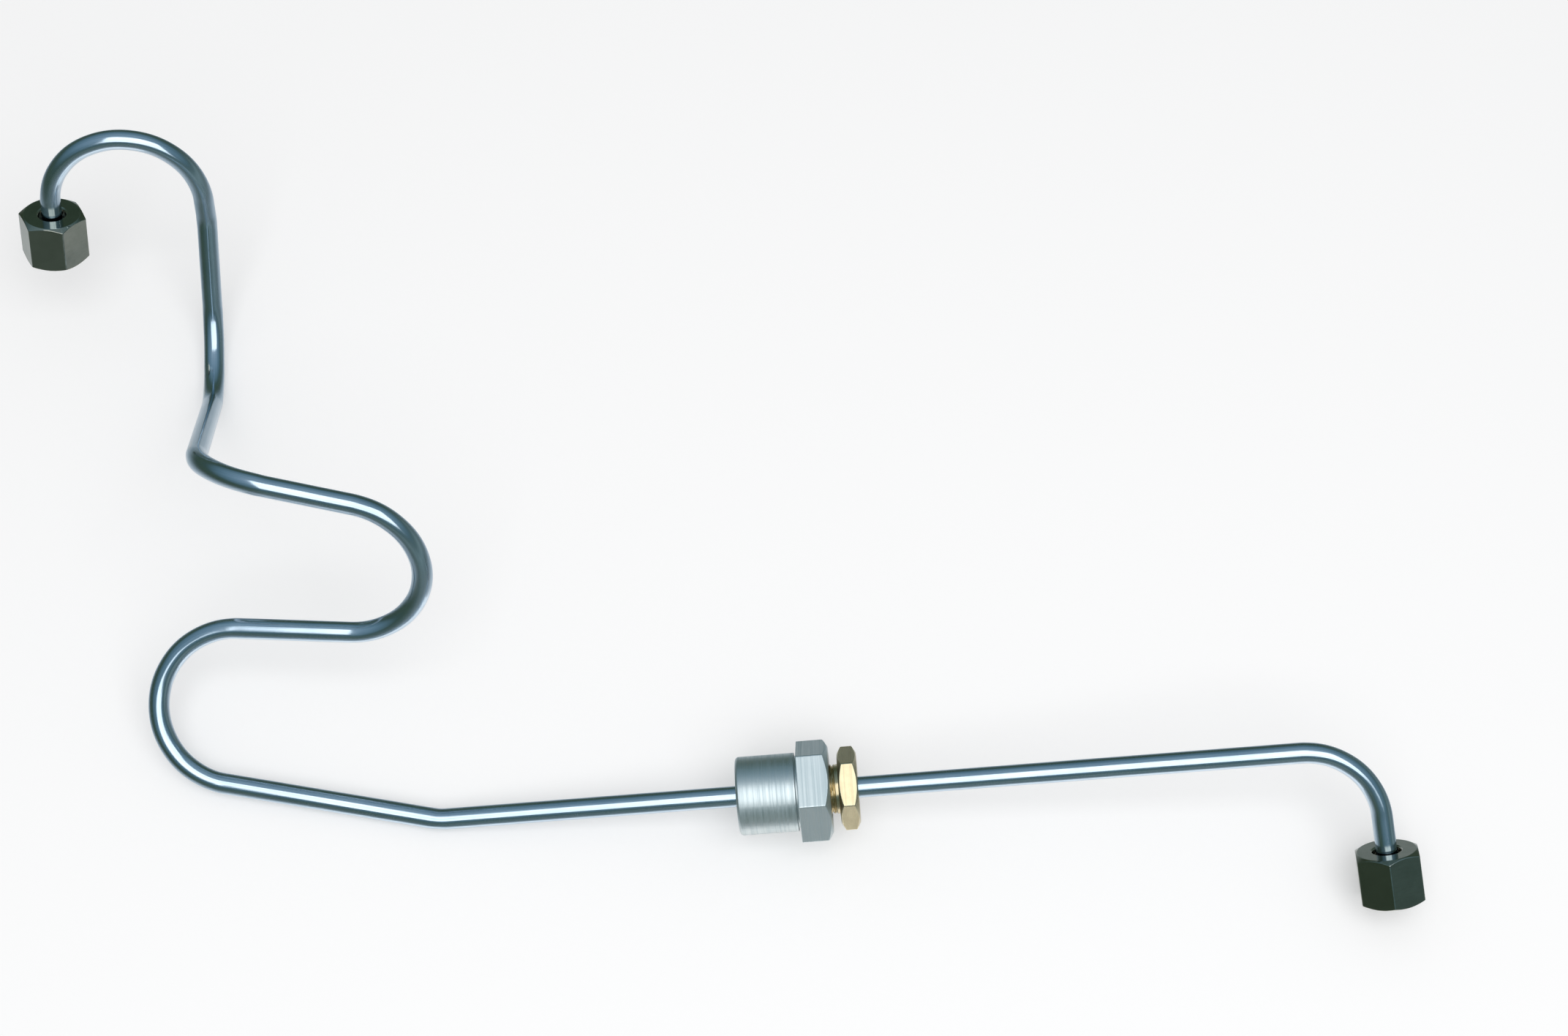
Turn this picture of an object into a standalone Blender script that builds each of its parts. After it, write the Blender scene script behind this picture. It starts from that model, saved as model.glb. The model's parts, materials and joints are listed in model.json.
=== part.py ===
"""Injector pipe of a diesel engine: a bent high-pressure fuel pipe with a captive union nut at
each end and a gland that seals it where it passes through the engine's cover.

The pipe is laid out as a pipe bender makes it, from a schedule of straight runs, bends and rolls
of the bend's plane. Every fitting takes its place from the pipe's own frames. The finished
assembly is then laid on the floor, on the three points that carry its weight.
"""

import math
from typing import NamedTuple

import bmesh
import bpy
from mathutils import Matrix, Vector

MM = 0.001

# Clearances
SEAT_GAP = 0.3 * MM               # between faces that touch on the real pipe
RUNNING_GAP = 0.25 * MM           # at each side, round what slides
THREAD_GAP = 0.3 * MM             # at each side, between a plain male thread and its bore

# Pipe
PIPE_D = 6.0 * MM
BORE_D = 2.0 * MM
BEND_RADIUS = 22.5 * MM           # of the centreline, from the same former at every bend
PIPE_SIDES = 20
SKIN_STEP = 9.0                   # degrees of bend from one section of the skin to the next
BORE_STEP = 18.0                  # degrees of bend from one section of the bore to the next

# Formed head at each end of the pipe: a sixty-degree nose, a land and a shoulder
HEAD_D = 9.0 * MM
HEAD_LAND = 0.8 * MM
NOSE_D = 4.2 * MM
NOSE_HALF_ANGLE = 30.0
SHOULDER_ANGLE = 45.0
MOUTH_CHAMFER = 0.3 * MM

# Union nuts, and the thrust collars that they pull against the heads
UNION_FLATS = 17.5 * MM
UNION_LENGTH = 15.2 * MM
UNION_WALL = 2.8 * MM             # thickness of the closed end
UNION_HOLE_D = 8.0 * MM           # through the closed end, loose round the pipe
UNION_HOLE_CHAMFER = 0.4 * MM
UNION_THREAD_D = 14.0 * MM
UNION_THREAD_DEPTH = 0.8 * MM
COLLAR_LENGTH = 3.2 * MM
COLLAR_CHAMFER = 0.5 * MM

# Gland body: a hexagon, with a round shank that goes into the cover
GLAND_FLATS = 25.4 * MM
GLAND_HEX_LENGTH = 9.0 * MM
SHANK_D = 22.2 * MM
SHANK_LENGTH = 17.4 * MM
SHANK_CHAMFER = 0.6 * MM
RELIEF_WIDTH = 0.7 * MM
RELIEF_DEPTH = 0.9 * MM
RELIEF_UNDERCUT = 0.2 * MM        # of the relief, into the hexagon's seating face
CHAMBER_DEPTH = 16.0 * MM
CHAMBER_CHAMFER = 0.5 * MM

# Gland nut, and the packing and washer that it presses round the pipe
GLAND_NUT_FLATS = 20.6 * MM
GLAND_NUT_HEX_LENGTH = 5.5 * MM
GLAND_NUT_SHANK_D = 14.0 * MM
GLAND_NUT_TIP_CHAMFER = 0.5 * MM
GLAND_NUT_STAND_OFF = 2.4 * MM    # shank in sight between the two hexagons
PACKING_LENGTH = 7.0 * MM
WASHER_THICKNESS = 1.5 * MM

# Corners of every hexagon, turned off in a cone from this share of the width across flats
CORNER_ANGLE = 30.0
CORNER_CIRCLE = 0.95
BLANK_ALLOWANCE = 0.3 * MM        # of a blank's radius, over the hexagon's corners
CUTTER_MARGIN = 1.0 * MM          # of a hexagonal cutter, past each end of its blank

# Clock position of each hexagon on the pipe, in degrees
PUMP_NUT_CLOCK = 53.0
INJECTOR_NUT_CLOCK = 5.0
GLAND_CLOCK = 46.0
GLAND_NUT_CLOCK = 53.0

TURNED_SIDES = 48
RING_SIDES = 32
SHARP_ANGLE = 30.0

# Densities in kilograms for each cubic metre, for the balance of the finished pipe
STEEL_DENSITY = 7850.0
BRASS_DENSITY = 8500.0
RUBBER_DENSITY = 1150.0


class Bend(NamedTuple):
    """One step of the bender: a straight run, then a bend in a plane rolled from the last one."""

    run: float
    turn: float
    roll: float


SCHEDULE = (
    Bend(run=15.5 * MM, turn=175.5, roll=0.0),        # hook over the pump end
    Bend(run=4.5 * MM, turn=14.0, roll=-77.5),        # set in the hook's long leg
    Bend(run=25.0 * MM, turn=102.5, roll=-14.0),      # foot of the hook
    Bend(run=64.0 * MM, turn=83.5, roll=-102.0),      # corner into the upper arm
    Bend(run=23.5 * MM, turn=168.0, roll=-67.5),      # right-hand loop
    Bend(run=31.5 * MM, turn=172.5, roll=-149.5),     # left-hand loop
    Bend(run=59.0 * MM, turn=14.0, roll=0.0),         # set into the long run
    Bend(run=241.5 * MM, turn=85.0, roll=-173.0),     # down to the injector
)
INJECTOR_RUN = 21.5 * MM          # the last run, to the tip of its head
LONG_RUN = 7                      # the schedule's run that the gland sits on
GLAND_STATION = 100.0 * MM        # along that run, to the seat of the gland's hexagon

# Attitude in which the pipe is put down before it settles, in degrees about X, Y and Z
PUT_DOWN = (0.0, 22.5, 0.0)


class Finish(NamedTuple):
    """Base colour, metallic value and roughness of a material."""

    color: tuple
    metallic: float
    roughness: float


BRIGHT_ZINC = Finish((0.42, 0.50, 0.56, 1.0), 1.0, 0.22)
DARK_PLATE = Finish((0.30, 0.31, 0.28, 1.0), 1.0, 0.12)
PLAIN_STEEL = Finish((0.50, 0.50, 0.50, 1.0), 1.0, 0.35)
SATIN_STEEL = Finish((0.66, 0.70, 0.72, 1.0), 1.0, 0.34)
GOLD_BRASS = Finish((0.80, 0.66, 0.40, 1.0), 1.0, 0.25)
BLACK_RUBBER = Finish((0.02, 0.02, 0.02, 1.0), 0.0, 0.70)


def clear_scene():
    """Removes every object of the open file."""
    for item in list(bpy.data.objects):
        bpy.data.objects.remove(item, do_unlink=True)


def make_material(name, finish):
    """Makes a Principled material from a finish."""
    material = bpy.data.materials.new(name)
    material.use_nodes = True
    shader = material.node_tree.nodes["Principled BSDF"]
    shader.inputs["Base Color"].default_value = finish.color
    shader.inputs["Metallic"].default_value = finish.metallic
    shader.inputs["Roughness"].default_value = finish.roughness
    return material


def finish_mesh(work, name):
    """Turns a bmesh's faces outwards and returns it as a smooth-shaded mesh with sharp edges."""
    bmesh.ops.recalc_face_normals(work, faces=work.faces)
    mesh = bpy.data.meshes.new(name)
    work.to_mesh(mesh)
    work.free()
    mesh.shade_smooth()
    mesh.set_sharp_from_angle(angle=math.radians(SHARP_ANGLE))
    return mesh


def add_object(name, mesh, parent, place):
    """Links a mesh to the scene under its parent, at a place in the parent's frame."""
    item = bpy.data.objects.new(name, mesh)
    bpy.context.scene.collection.objects.link(item)
    item.parent = parent
    item.matrix_basis = place
    return item


def add_piece(name, mesh, finish, parent, place):
    """Adds one piece of the assembly with a material of its own."""
    mesh.materials.append(make_material(name + "_finish", finish))
    return add_object(name, mesh, parent, place)


# Shapes


def turned_mesh(name, outline, sides):
    """Revolves a closed outline of (radius, height) points round Z."""
    work = bmesh.new()
    points = [work.verts.new((radius, 0.0, height)) for radius, height in outline]
    edges = [work.edges.new((points[i - 1], points[i])) for i in range(len(points))]
    bmesh.ops.spin(
        work,
        geom=points + edges,
        cent=(0.0, 0.0, 0.0),
        axis=(0.0, 0.0, 1.0),
        angle=math.tau,
        steps=sides,
        use_merge=True,
    )
    return finish_mesh(work, name)


def hexagon_mesh(name, flats, low, high):
    """Makes a hexagonal prism along Z with one of its flats facing +X."""
    work = bmesh.new()
    corner = flats / 2 / math.cos(math.pi / 6)
    ring = []
    for i in range(6):
        angle = math.pi / 6 + i * math.pi / 3
        ring.append(work.verts.new((corner * math.cos(angle), corner * math.sin(angle), low)))
    base = work.faces.new(ring)
    raised = bmesh.ops.extrude_face_region(work, geom=[base])["geom"]
    tops = [item for item in raised if isinstance(item, bmesh.types.BMVert)]
    bmesh.ops.translate(work, verts=tops, vec=(0.0, 0.0, high - low))
    return finish_mesh(work, name)


def cut_hexagon(piece, flats, length):
    """Mills a turned blank to a hexagon; a shank narrower than the flats stays round."""
    name = piece.name + "_cutter"
    mesh = hexagon_mesh(name, flats, -CUTTER_MARGIN, length + CUTTER_MARGIN)
    cutter = add_object(name, mesh, piece, Matrix.Identity(4))
    cutter.hide_render = True
    cutter.display_type = "WIRE"
    milling = piece.modifiers.new("hexagon", "BOOLEAN")
    milling.operation = "INTERSECT"
    milling.solver = "EXACT"
    milling.object = cutter


def blank_radius(flats):
    """Radius of the blank that a hexagon is milled from."""
    return flats / 2 / math.cos(math.pi / 6) + BLANK_ALLOWANCE


def face_radius(flats):
    """Radius of a hexagon's end face, inside the cone that takes its corners off."""
    return flats / 2 * CORNER_CIRCLE


def corner_depth(flats):
    """Length along the axis of the cone that takes a hexagon's corners off."""
    return (blank_radius(flats) - face_radius(flats)) * math.tan(math.radians(CORNER_ANGLE))


def cone_length(wide, narrow, half_angle):
    """Length along the axis of a cone between two diameters."""
    return (wide - narrow) / 2 / math.tan(math.radians(half_angle))


# Route of the pipe


def straight(length):
    """Frame change along a straight run."""
    return Matrix.Translation((0.0, 0.0, length))


def swing(angle):
    """Frame change round a bend that curls towards the frame's -Y side."""
    to_centre = Matrix.Translation((0.0, -BEND_RADIUS, 0.0))
    from_centre = Matrix.Translation((0.0, BEND_RADIUS, 0.0))
    return to_centre @ Matrix.Rotation(math.radians(angle), 4, "X") @ from_centre


def bend_frame(start, bend, plane, share):
    """Frame part of the way round a bend, reached from the start of the run before it.

    The frame's +Z is along the pipe. Its X and Y don't twist, so plane is the sum of the rolls.
    """
    rolled = Matrix.Rotation(math.radians(plane), 4, "Z")
    return start @ straight(bend.run) @ rolled @ swing(bend.turn * share) @ rolled.inverted()


def walk_schedule():
    """Start frame and bend plane of each step, and the start frame of the last run."""
    frame = Matrix.Identity(4)
    plane = 0.0
    steps = []
    for bend in SCHEDULE:
        plane += bend.roll
        steps.append((frame, bend, plane))
        frame = bend_frame(frame, bend, plane, 1.0)
    return steps, frame


def bend_frames(step):
    """Frames from one end of each bend to the other, about every step of it, in degrees."""
    frames = []
    for start, bend, plane in walk_schedule()[0]:
        count = max(1, round(bend.turn / step))
        frames += [bend_frame(start, bend, plane, i / count) for i in range(count + 1)]
    return frames


# Pipe


def section(frame, radius):
    """Points round the pipe's section at a frame."""
    points = []
    for i in range(PIPE_SIDES):
        angle = math.tau * i / PIPE_SIDES
        points.append(frame @ Vector((radius * math.cos(angle), radius * math.sin(angle), 0.0)))
    return points


def land_end():
    """Distance from the nose's tip to the back edge of the head's land."""
    return cone_length(HEAD_D, NOSE_D, NOSE_HALF_ANGLE) + HEAD_LAND


def head_sections(tip, inwards):
    """Sections of a head's skin from its tip; inwards is +1 or -1 along the frame's Z."""
    outline = (
        (0.0, NOSE_D),
        (land_end() - HEAD_LAND, HEAD_D),
        (land_end(), HEAD_D),
        (land_end() + cone_length(HEAD_D, PIPE_D, SHOULDER_ANGLE), PIPE_D),
    )
    return [section(tip @ straight(inwards * depth), width / 2) for depth, width in outline]


def mouth_sections(tip, inwards):
    """Sections of the bore's chamfered mouth from the nose's tip."""
    wide = section(tip, BORE_D / 2 + MOUTH_CHAMFER)
    narrow = section(tip @ straight(inwards * MOUTH_CHAMFER), BORE_D / 2)
    return [wide, narrow]


def pipe_mesh(name, pump_tip, injector_tip):
    """Lofts the pipe's skin and its bore through their sections, as one hollow body."""
    skin = head_sections(pump_tip, 1)
    skin += [section(frame, PIPE_D / 2) for frame in bend_frames(SKIN_STEP)]
    skin += reversed(head_sections(injector_tip, -1))
    bore = mouth_sections(injector_tip, -1)
    bore += [section(frame, BORE_D / 2) for frame in reversed(bend_frames(BORE_STEP))]
    bore += reversed(mouth_sections(pump_tip, 1))
    work = bmesh.new()
    loops = [[work.verts.new(point) for point in ring] for ring in skin + bore]
    for i, ring in enumerate(loops):
        before = loops[i - 1]
        for j in range(PIPE_SIDES):
            work.faces.new((before[j - 1], before[j], ring[j], ring[j - 1]))
    return finish_mesh(work, name)


# Union nuts and thrust collars


def collar_front():
    """Distance from the nose's tip to the thrust collar's front face."""
    gap_along_axis = SEAT_GAP / math.sin(math.radians(SHOULDER_ANGLE))
    return land_end() + gap_along_axis - cone_length(2 * SEAT_GAP, 0.0, SHOULDER_ANGLE)


def union_mouth():
    """Distance from the nose's tip to the union nut's open end, negative outside the pipe."""
    closed_end = collar_front() + COLLAR_LENGTH + SEAT_GAP + UNION_WALL
    return closed_end - UNION_LENGTH


def union_bore():
    """Radius of the union nut's bore, at the crests of its thread."""
    return UNION_THREAD_D / 2 - UNION_THREAD_DEPTH


def collar_outline():
    """Outline of a thrust collar from its front face, with a seat for the head's shoulder."""
    bore = PIPE_D / 2 + RUNNING_GAP
    mouth = HEAD_D / 2 + SEAT_GAP
    outer = union_bore() - RUNNING_GAP
    return [
        (mouth, 0.0),
        (outer - COLLAR_CHAMFER, 0.0),
        (outer, COLLAR_CHAMFER),
        (outer, COLLAR_LENGTH - COLLAR_CHAMFER),
        (outer - COLLAR_CHAMFER, COLLAR_LENGTH),
        (bore, COLLAR_LENGTH),
        (bore, cone_length(2 * mouth, 2 * bore, SHOULDER_ANGLE)),
    ]


def union_outline():
    """Outline of a union nut's blank from its open end."""
    blank = blank_radius(UNION_FLATS)
    face = face_radius(UNION_FLATS)
    chamfer = corner_depth(UNION_FLATS)
    hole = UNION_HOLE_D / 2
    return [
        (face, 0.0),
        (blank, chamfer),
        (blank, UNION_LENGTH - chamfer),
        (face, UNION_LENGTH),
        (hole + UNION_HOLE_CHAMFER, UNION_LENGTH),
        (hole, UNION_LENGTH - UNION_HOLE_CHAMFER),
        (hole, UNION_LENGTH - UNION_WALL),
        (union_bore(), UNION_LENGTH - UNION_WALL),
        (union_bore(), UNION_THREAD_DEPTH),
        (UNION_THREAD_D / 2, 0.0),
    ]


def add_union(end, tip, angle, parent):
    """Adds the thrust collar and union nut of one end; the tip's +Z leads into the pipe."""
    name = end + "_thrust_collar"
    mesh = turned_mesh(name, collar_outline(), RING_SIDES)
    add_piece(name, mesh, PLAIN_STEEL, parent, tip @ straight(collar_front()))

    name = end + "_union_nut"
    mesh = turned_mesh(name, union_outline(), TURNED_SIDES)
    place = tip @ straight(union_mouth()) @ clock(angle)
    nut = add_piece(name, mesh, DARK_PLATE, parent, place)
    cut_hexagon(nut, UNION_FLATS, UNION_LENGTH)


def clock(angle):
    """Turn of a piece about the pipe, in degrees."""
    return Matrix.Rotation(math.radians(angle), 4, "Z")


# Gland


def chamber_radius():
    """Radius of the gland body's chamber, which the gland nut's shank screws into."""
    return GLAND_NUT_SHANK_D / 2 + THREAD_GAP


def gland_outline():
    """Outline of the gland body's blank from the end of its shank."""
    length = SHANK_LENGTH + GLAND_HEX_LENGTH
    blank = blank_radius(GLAND_FLATS)
    shank = SHANK_D / 2
    chamber = chamber_radius()
    bore = PIPE_D / 2 + SEAT_GAP
    return [
        (shank - SHANK_CHAMFER, 0.0),
        (shank, SHANK_CHAMFER),
        (shank, SHANK_LENGTH - RELIEF_WIDTH),
        (shank - RELIEF_DEPTH, SHANK_LENGTH - RELIEF_WIDTH),
        (shank - RELIEF_DEPTH, SHANK_LENGTH + RELIEF_UNDERCUT),
        (shank, SHANK_LENGTH + RELIEF_UNDERCUT),
        (shank + RELIEF_UNDERCUT, SHANK_LENGTH),
        (blank, SHANK_LENGTH),
        (blank, length - corner_depth(GLAND_FLATS)),
        (face_radius(GLAND_FLATS), length),
        (chamber + CHAMBER_CHAMFER, length),
        (chamber, length - CHAMBER_CHAMFER),
        (chamber, length - CHAMBER_DEPTH),
        (bore, length - CHAMBER_DEPTH),
        (bore, 0.0),
    ]


def gland_nut_outline(shank_length):
    """Outline of the gland nut's blank from the tip of its shank."""
    length = shank_length + GLAND_NUT_HEX_LENGTH
    blank = blank_radius(GLAND_NUT_FLATS)
    face = face_radius(GLAND_NUT_FLATS)
    chamfer = corner_depth(GLAND_NUT_FLATS)
    shank = GLAND_NUT_SHANK_D / 2
    bore = PIPE_D / 2 + SEAT_GAP
    return [
        (shank - GLAND_NUT_TIP_CHAMFER, 0.0),
        (shank, GLAND_NUT_TIP_CHAMFER),
        (shank, shank_length),
        (face, shank_length),
        (blank, shank_length + chamfer),
        (blank, length - chamfer),
        (face, length),
        (bore, length),
        (bore, 0.0),
    ]


def ring_outline(length):
    """Outline of a plain ring that lies in the gland's chamber."""
    inner = PIPE_D / 2 + SEAT_GAP
    outer = chamber_radius() - SEAT_GAP
    return [(inner, 0.0), (outer, 0.0), (outer, length), (inner, length)]


def add_gland(seat, parent):
    """Adds the gland's pieces; seat is the frame at the seating face of its hexagon."""
    start = seat @ straight(-SHANK_LENGTH)
    length = SHANK_LENGTH + GLAND_HEX_LENGTH
    mesh = turned_mesh("gland_body", gland_outline(), TURNED_SIDES)
    body = add_piece("gland_body", mesh, SATIN_STEEL, parent, start @ clock(GLAND_CLOCK))
    cut_hexagon(body, GLAND_FLATS, length)

    packing_at = length - CHAMBER_DEPTH + SEAT_GAP
    mesh = turned_mesh("gland_packing", ring_outline(PACKING_LENGTH), RING_SIDES)
    add_piece("gland_packing", mesh, BLACK_RUBBER, parent, start @ straight(packing_at))

    washer_at = packing_at + PACKING_LENGTH + SEAT_GAP
    mesh = turned_mesh("gland_washer", ring_outline(WASHER_THICKNESS), RING_SIDES)
    add_piece("gland_washer", mesh, PLAIN_STEEL, parent, start @ straight(washer_at))

    nut_at = washer_at + WASHER_THICKNESS + SEAT_GAP
    shank_length = length + GLAND_NUT_STAND_OFF - nut_at
    mesh = turned_mesh("gland_nut", gland_nut_outline(shank_length), TURNED_SIDES)
    place = start @ straight(nut_at) @ clock(GLAND_NUT_CLOCK)
    nut = add_piece("gland_nut", mesh, GOLD_BRASS, parent, place)
    cut_hexagon(nut, GLAND_NUT_FLATS, shank_length + GLAND_NUT_HEX_LENGTH)


# Rest on the floor


def density_of(name):
    """Density of a piece by its name."""
    if name == "gland_nut":
        return BRASS_DENSITY
    if name == "gland_packing":
        return RUBBER_DENSITY
    return STEEL_DENSITY


def weigh(pieces):
    """World points of all pieces, and their common centre of mass."""
    depsgraph = bpy.context.evaluated_depsgraph_get()
    points = []
    mass = 0.0
    moment = Vector((0.0, 0.0, 0.0))
    for piece in pieces:
        shape = piece.evaluated_get(depsgraph)
        mesh = shape.to_mesh()
        mesh.calc_loop_triangles()
        corners = [piece.matrix_world @ vertex.co for vertex in mesh.vertices]
        for triangle in mesh.loop_triangles:
            a, b, c = (corners[index] for index in triangle.vertices)
            share = density_of(piece.name) * a.dot(b.cross(c)) / 6
            mass += share
            moment += share * (a + b + c) / 4
        points += corners
        shape.to_mesh_clear()
    return points, moment / mass


def holds(face, foot):
    """Tells whether a point in the plane of a convex face is inside it."""
    for loop in face.loops:
        start = loop.vert.co
        side = loop.link_loop_next.vert.co - start
        if side.cross(foot - start).dot(face.normal) < 0.0:
            return False
    return True


def resting_side(points, centre):
    """Outward normal of the side of the assembly's hull that it settles on.

    It can rest on a face of the hull that the centre of mass is above. Of those, it settles on
    the one that faces most nearly down.
    """
    work = bmesh.new()
    verts = [work.verts.new(point) for point in points]
    hull = bmesh.ops.convex_hull(work, input=verts)
    lowest = None
    for face in (item for item in hull["geom"] if isinstance(item, bmesh.types.BMFace)):
        face.normal_update()
        height = (centre - face.verts[0].co).dot(face.normal)
        if height > 0.0:
            face.normal_flip()
        foot = centre + face.normal * abs(height)
        if holds(face, foot) and (lowest is None or face.normal.z < lowest.z):
            lowest = face.normal.copy()
    work.free()
    return lowest


def lay_down(rest, pieces, long_run):
    """Settles the assembly on the floor, its long run along X and its box over the origin."""
    bpy.context.view_layer.update()
    points, centre = weigh(pieces)
    down = Vector((0.0, 0.0, -1.0))
    settle = resting_side(points, centre).rotation_difference(down).to_matrix()
    along = settle @ rest.matrix_basis.to_3x3() @ long_run.to_3x3() @ Vector((0.0, 0.0, 1.0))
    turn = Matrix.Rotation(-math.atan2(along.y, along.x), 3, "Z") @ settle
    laid = [turn @ point for point in points]
    low = Vector([min(point[i] for point in laid) for i in range(3)])
    high = Vector([max(point[i] for point in laid) for i in range(3)])
    lift = Matrix.Translation((-(low.x + high.x) / 2, -(low.y + high.y) / 2, -low.z))
    rest.matrix_basis = lift @ turn.to_4x4() @ rest.matrix_basis


def main():
    clear_scene()
    rest = bpy.data.objects.new("injector_pipe", None)
    bpy.context.scene.collection.objects.link(rest)
    rest.rotation_euler = [math.radians(angle) for angle in PUT_DOWN]
    bpy.context.view_layer.update()

    steps, last_run = walk_schedule()
    pump_tip = Matrix.Identity(4)
    injector_tip = last_run @ straight(INJECTOR_RUN)
    long_run = steps[LONG_RUN][0]

    mesh = pipe_mesh("pipe", pump_tip, injector_tip)
    add_piece("pipe", mesh, BRIGHT_ZINC, rest, Matrix.Identity(4))
    add_union("pump", pump_tip, PUMP_NUT_CLOCK, rest)
    injector_inwards = injector_tip @ Matrix.Rotation(math.pi, 4, "X")
    add_union("injector", injector_inwards, INJECTOR_NUT_CLOCK, rest)
    add_gland(long_run @ straight(GLAND_STATION), rest)
    lay_down(rest, list(rest.children), long_run)


main()
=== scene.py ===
"""Looks of an injector pipe: a bent fuel pipe with a union nut at each end and a sealing gland.

Every piece is a closed surface of two parameters. One runs round the piece, and the other along
its outline, which is a turned profile or the route of the pipe. The route is the pipe bender's
schedule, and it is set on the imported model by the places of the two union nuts.
"""

import json
import logging
import math
from dataclasses import dataclass
from enum import Enum

import bpy
import numpy as np
from mathutils import Matrix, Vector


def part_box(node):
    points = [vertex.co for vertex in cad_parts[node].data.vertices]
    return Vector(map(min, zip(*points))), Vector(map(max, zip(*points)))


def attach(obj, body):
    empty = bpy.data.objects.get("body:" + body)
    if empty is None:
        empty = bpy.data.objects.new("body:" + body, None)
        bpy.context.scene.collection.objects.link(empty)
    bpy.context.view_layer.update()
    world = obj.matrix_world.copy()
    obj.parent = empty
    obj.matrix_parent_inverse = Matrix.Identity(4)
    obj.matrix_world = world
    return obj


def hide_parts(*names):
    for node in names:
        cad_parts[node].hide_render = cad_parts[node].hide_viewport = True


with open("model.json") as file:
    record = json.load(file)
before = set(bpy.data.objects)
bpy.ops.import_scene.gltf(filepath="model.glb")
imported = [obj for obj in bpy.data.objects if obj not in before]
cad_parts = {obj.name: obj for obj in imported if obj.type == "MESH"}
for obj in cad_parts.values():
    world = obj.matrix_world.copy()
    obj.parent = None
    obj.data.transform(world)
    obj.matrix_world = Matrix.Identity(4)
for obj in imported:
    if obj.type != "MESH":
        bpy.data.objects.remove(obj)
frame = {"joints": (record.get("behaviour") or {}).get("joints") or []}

MM = 0.001
TURN_ATTRIBUTE = "turn"      # cosine and sine of the place round a piece, millimetres along it
EDGE_ATTRIBUTE = "edge"      # 1 on a rounded edge, 0 on the surfaces beside it

Array = np.ndarray
Color = tuple[float, float, float]
Matrix4 = np.ndarray

log = logging.getLogger("injector_pipe")


# Outlines and surfaces


ROUND_STEPS = 4              # facets across a rounded corner
SUPPORT = 1.6                # how much further out than the round its supporting points lie
SIDE_SHARE = 0.45            # of a side, the most that the round and support at one end take
ROWS_PER_CORNER = ROUND_STEPS + 3
ROUND_COLUMNS = 72           # of a turned piece with a round plan
SHARP_ANGLE = 32.0           # degrees between faces from which an edge is shown sharp
FLAT_SHARE = 0.14            # of a thread's depth, cut off at its crest and at its root
STRAYS = ((1.7, 0.0), (0.61, 1.0))    # rate and start of the waves that make tool marks uneven


def rounded(corners: Array, ease: Array) -> Array:
    """Rounds each corner of closed outlines.

    A corner P becomes the parabola (1-t)^2 A + 2t(1-t) P + t^2 B between the points A and B that
    lie at the corner's ease along its two sides. One more point a little further along each side
    keeps the side flat right up to the round.

    Args:
        corners: corners of one outline for each column, shape (corner, column, 2).
        ease: distance of A and B from each corner, shape (corner,).

    Returns:
        Points of the rounded outlines, shape (corner * ROWS_PER_CORNER, column, 2).
    """
    back = np.roll(corners, 1, axis=0) - corners
    ahead = np.roll(corners, -1, axis=0) - corners
    back_length = np.linalg.norm(back, axis=2, keepdims=True)
    ahead_length = np.linalg.norm(ahead, axis=2, keepdims=True)
    longest = SIDE_SHARE / SUPPORT * np.minimum(back_length, ahead_length)
    reach = np.minimum(ease[:, None, None], longest)
    back = back / back_length * reach
    ahead = ahead / ahead_length * reach
    t = np.linspace(0.0, 1.0, ROUND_STEPS + 1)[None, :, None, None]
    start, end, tip = (corners + back)[:, None], (corners + ahead)[:, None], corners[:, None]
    arc = (1 - t) ** 2 * start + 2 * t * (1 - t) * tip + t ** 2 * end
    lead = (corners + SUPPORT * back)[:, None]
    trail = (corners + SUPPORT * ahead)[:, None]
    return np.concatenate([lead, arc, trail], axis=1).reshape(-1, corners.shape[1], 2)


def edge_rows(count: int) -> Array:
    """Edge value of the points that rounded() gives: sqrt(4t(1-t)), a hump over each round.

    Args:
        count: number of corners.

    Returns:
        The values, shape (count * ROWS_PER_CORNER,).
    """
    t = np.linspace(0.0, 1.0, ROUND_STEPS + 1)
    hump = np.concatenate([[0.0], np.sqrt(np.clip(4 * t * (1 - t), 0.0, 1.0)), [0.0]])
    return np.tile(hump, count)


@dataclass(frozen=True)
class Ring:
    """Plan of a piece seen along its axis: a direction and a reach for each column.

    Attributes:
        direction: unit vectors, shape (column, 2).
        reach: distance from the axis to the plan's outside, shape (column,).
        edge: edge value of each column, shape (column,).
    """

    direction: Array
    reach: Array
    edge: Array

    @staticmethod
    def circle(columns: int) -> "Ring":
        """Plan of a round piece: column i points at the angle i / columns of a turn.

        Args:
            columns: number of columns.

        Returns:
            The plan, with a reach of 1.
        """
        angle = math.tau * np.arange(columns) / columns
        direction = np.stack([np.cos(angle), np.sin(angle)], axis=1)
        return Ring(direction, np.ones(columns), np.zeros(columns))

    @staticmethod
    def hexagon(flats: float, ease: float, side_points: int = 15) -> "Ring":
        """Plan of a hexagon with rounded corners and one of its flats facing +X.

        Args:
            flats: width across flats.
            ease: how far along each flat its round corners reach.
            side_points: columns along each flat, between its rounded corners.

        Returns:
            The plan, whose reach is the distance from the axis to the hexagon.
        """
        angle = math.pi / 6 + math.pi / 3 * np.arange(6)
        corners = np.stack([np.cos(angle), np.sin(angle)], axis=1) * (flats / 2 / math.cos(math.pi / 6))
        rounds = rounded(corners[:, None], np.full(6, ease)).reshape(6, ROWS_PER_CORNER, 2)
        start = rounds[:, -1:]
        end = np.roll(rounds, -1, axis=0)[:, :1]
        share = (np.arange(1, side_points + 1) / (side_points + 1))[None, :, None]
        sides = start * (1 - share) + end * share
        plan = np.concatenate([rounds, sides], axis=1).reshape(-1, 2)
        hump = np.concatenate([edge_rows(1), np.zeros(side_points)])
        reach = np.linalg.norm(plan, axis=1)
        return Ring(plan / reach[:, None], reach, np.tile(hump, 6))


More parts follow.
